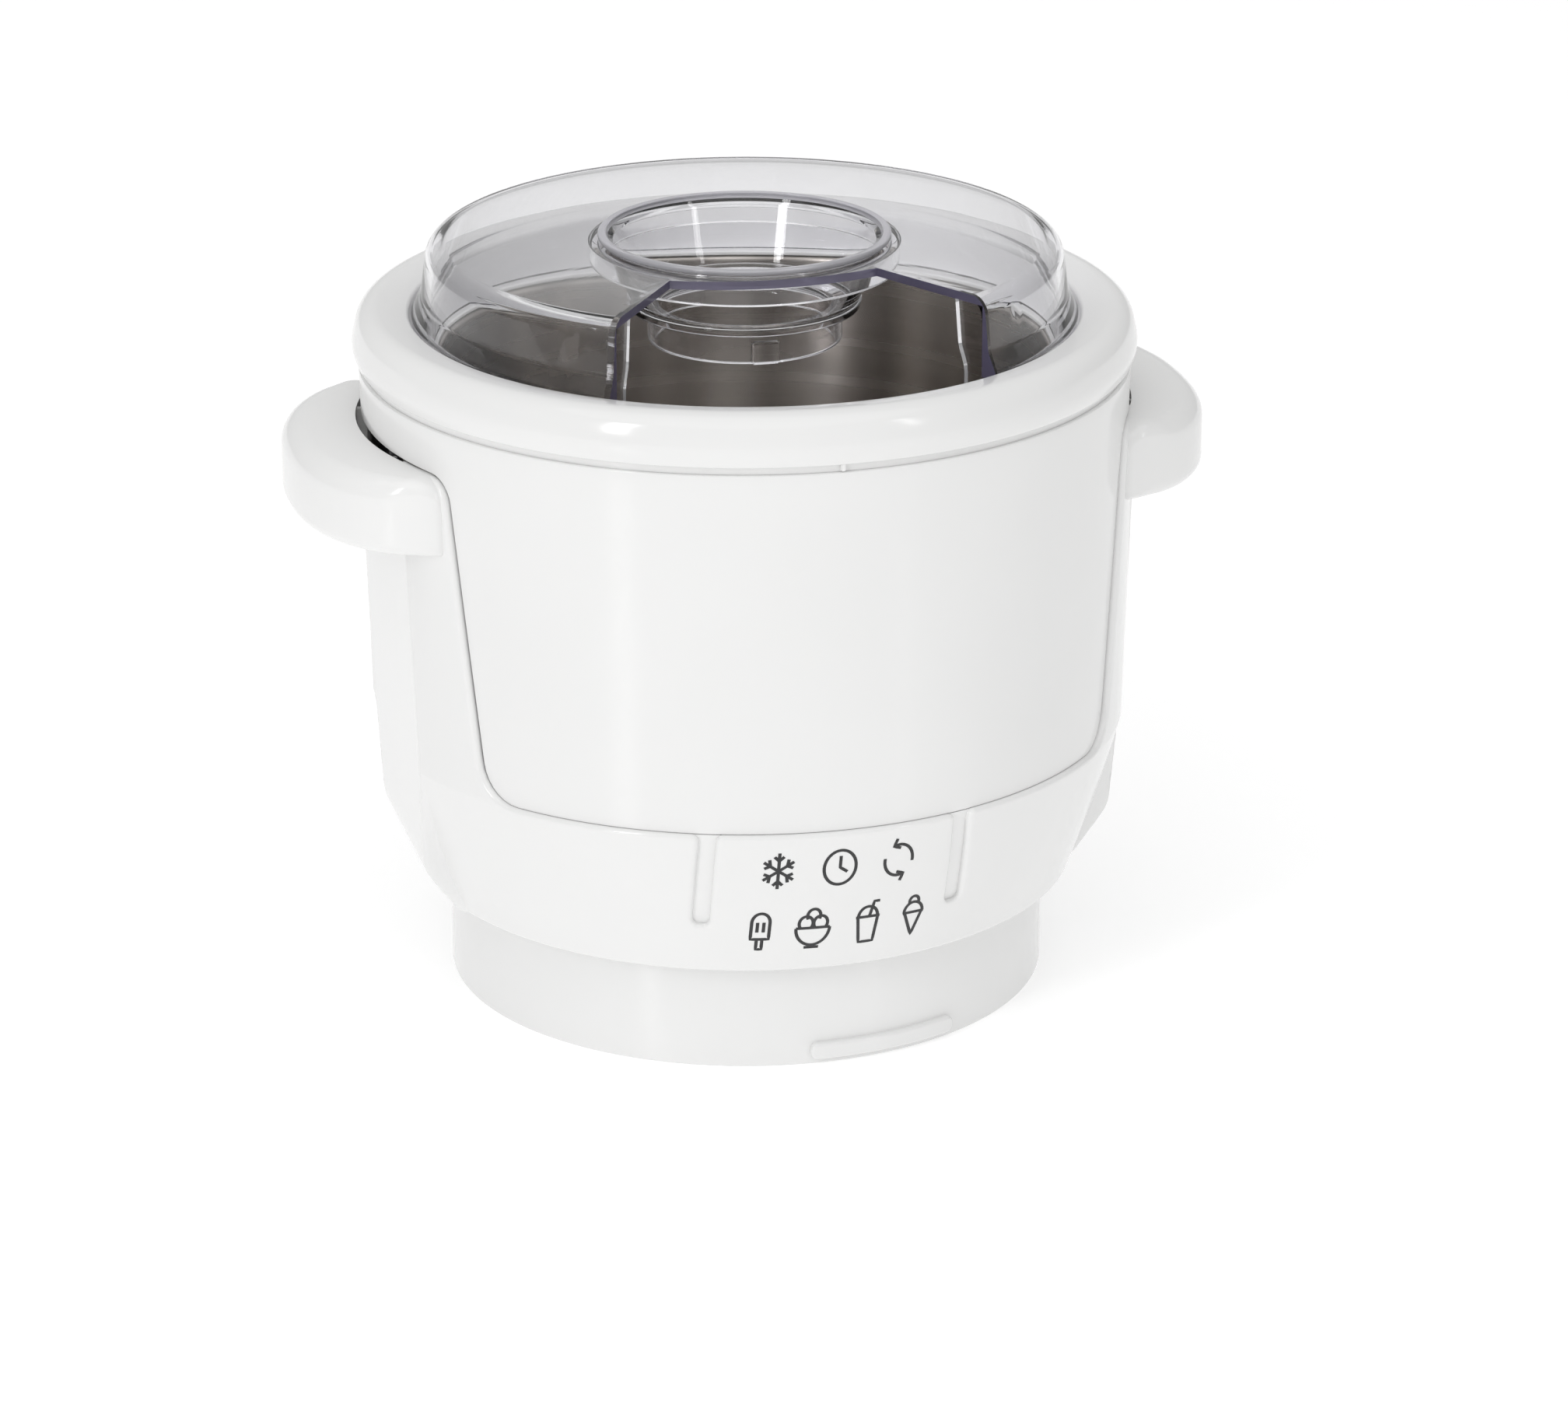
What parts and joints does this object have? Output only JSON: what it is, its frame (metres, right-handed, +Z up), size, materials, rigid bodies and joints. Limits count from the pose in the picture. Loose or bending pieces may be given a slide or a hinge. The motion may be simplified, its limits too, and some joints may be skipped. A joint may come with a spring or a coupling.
{
  "type": "ice cream maker",
  "caption": "Ice cream maker bowl for a stand mixer: white holder with half-moon handles, lift-out steel cooling bowl, clear lid with filling opening, funnel and turning paddle",
  "frame": {"origin": "centre of the foot on the floor plane, z = 0 under the foot", "axes": "+Z up along the axis of the bowl and paddle, handles along -X and +X, label tab and filling opening facing -Y"},
  "size_m": [0.245, 0.2062, 0.2034],
  "materials": {
    "white_plastic": "gloss white moulded plastic",
    "brushed_steel": "stainless steel brushed around the bowl",
    "screw_steel": "plain bright steel",
    "clear_plastic": "clear moulded plastic",
    "grey_rubber": "dark grey rubber",
    "grey_plastic": "grey engineering plastic",
    "matte_white": "satin white moulded plastic",
    "soft_white": "soft white scraper",
    "coolant": "pale blue cooling liquid"
  },
  "bodies": {
    "holder": {"outer_holder": "white_plastic", "foot_ring": "white_plastic", "foot_screw_1": "screw_steel", "foot_screw_2": "screw_steel", "foot_screw_3": "screw_steel", "seat_ring": "grey_rubber"},
    "container": {"rim_ring": "white_plastic", "upper_shell": "white_plastic", "inner_bowl": "brushed_steel", "outer_wall": "brushed_steel", "coolant_fill": "coolant", "base_cover": "white_plastic", "rim_gasket": "grey_rubber", "fill_plug": "grey_rubber", "centre_pin": "screw_steel"},
    "lid": {"lid_cover": "clear_plastic"},
    "funnel": {"funnel_insert": "clear_plastic"},
    "paddle_seat": {"pivot_bush": "grey_plastic"},
    "paddle": {"paddle_frame": "matte_white", "scraper_left": "soft_white", "scraper_right": "soft_white", "drive_socket": "grey_plastic"}
  },
  "joints": [
    {"name": "container_lift", "type": "slide", "parent": "holder", "child": "container", "axis": [0, 0, 1], "range_m": [0, 0.13]},
    {"name": "lid_lift", "type": "slide", "parent": "container", "child": "lid", "axis": [0, 0, 1], "range_m": [0, 0.06]},
    {"name": "funnel_lift", "type": "slide", "parent": "lid", "child": "funnel", "axis": [0, 0, 1], "range_m": [0, 0.04]},
    {"name": "paddle_lift", "type": "slide", "parent": "container", "child": "paddle_seat", "axis": [0, 0, 1], "range_m": [0, 0.02]},
    {"name": "paddle_spin", "type": "hinge", "parent": "paddle_seat", "child": "paddle", "pos_m": [0, 0, 0], "axis": [0, 0, 1], "continuous": true}
  ]
}
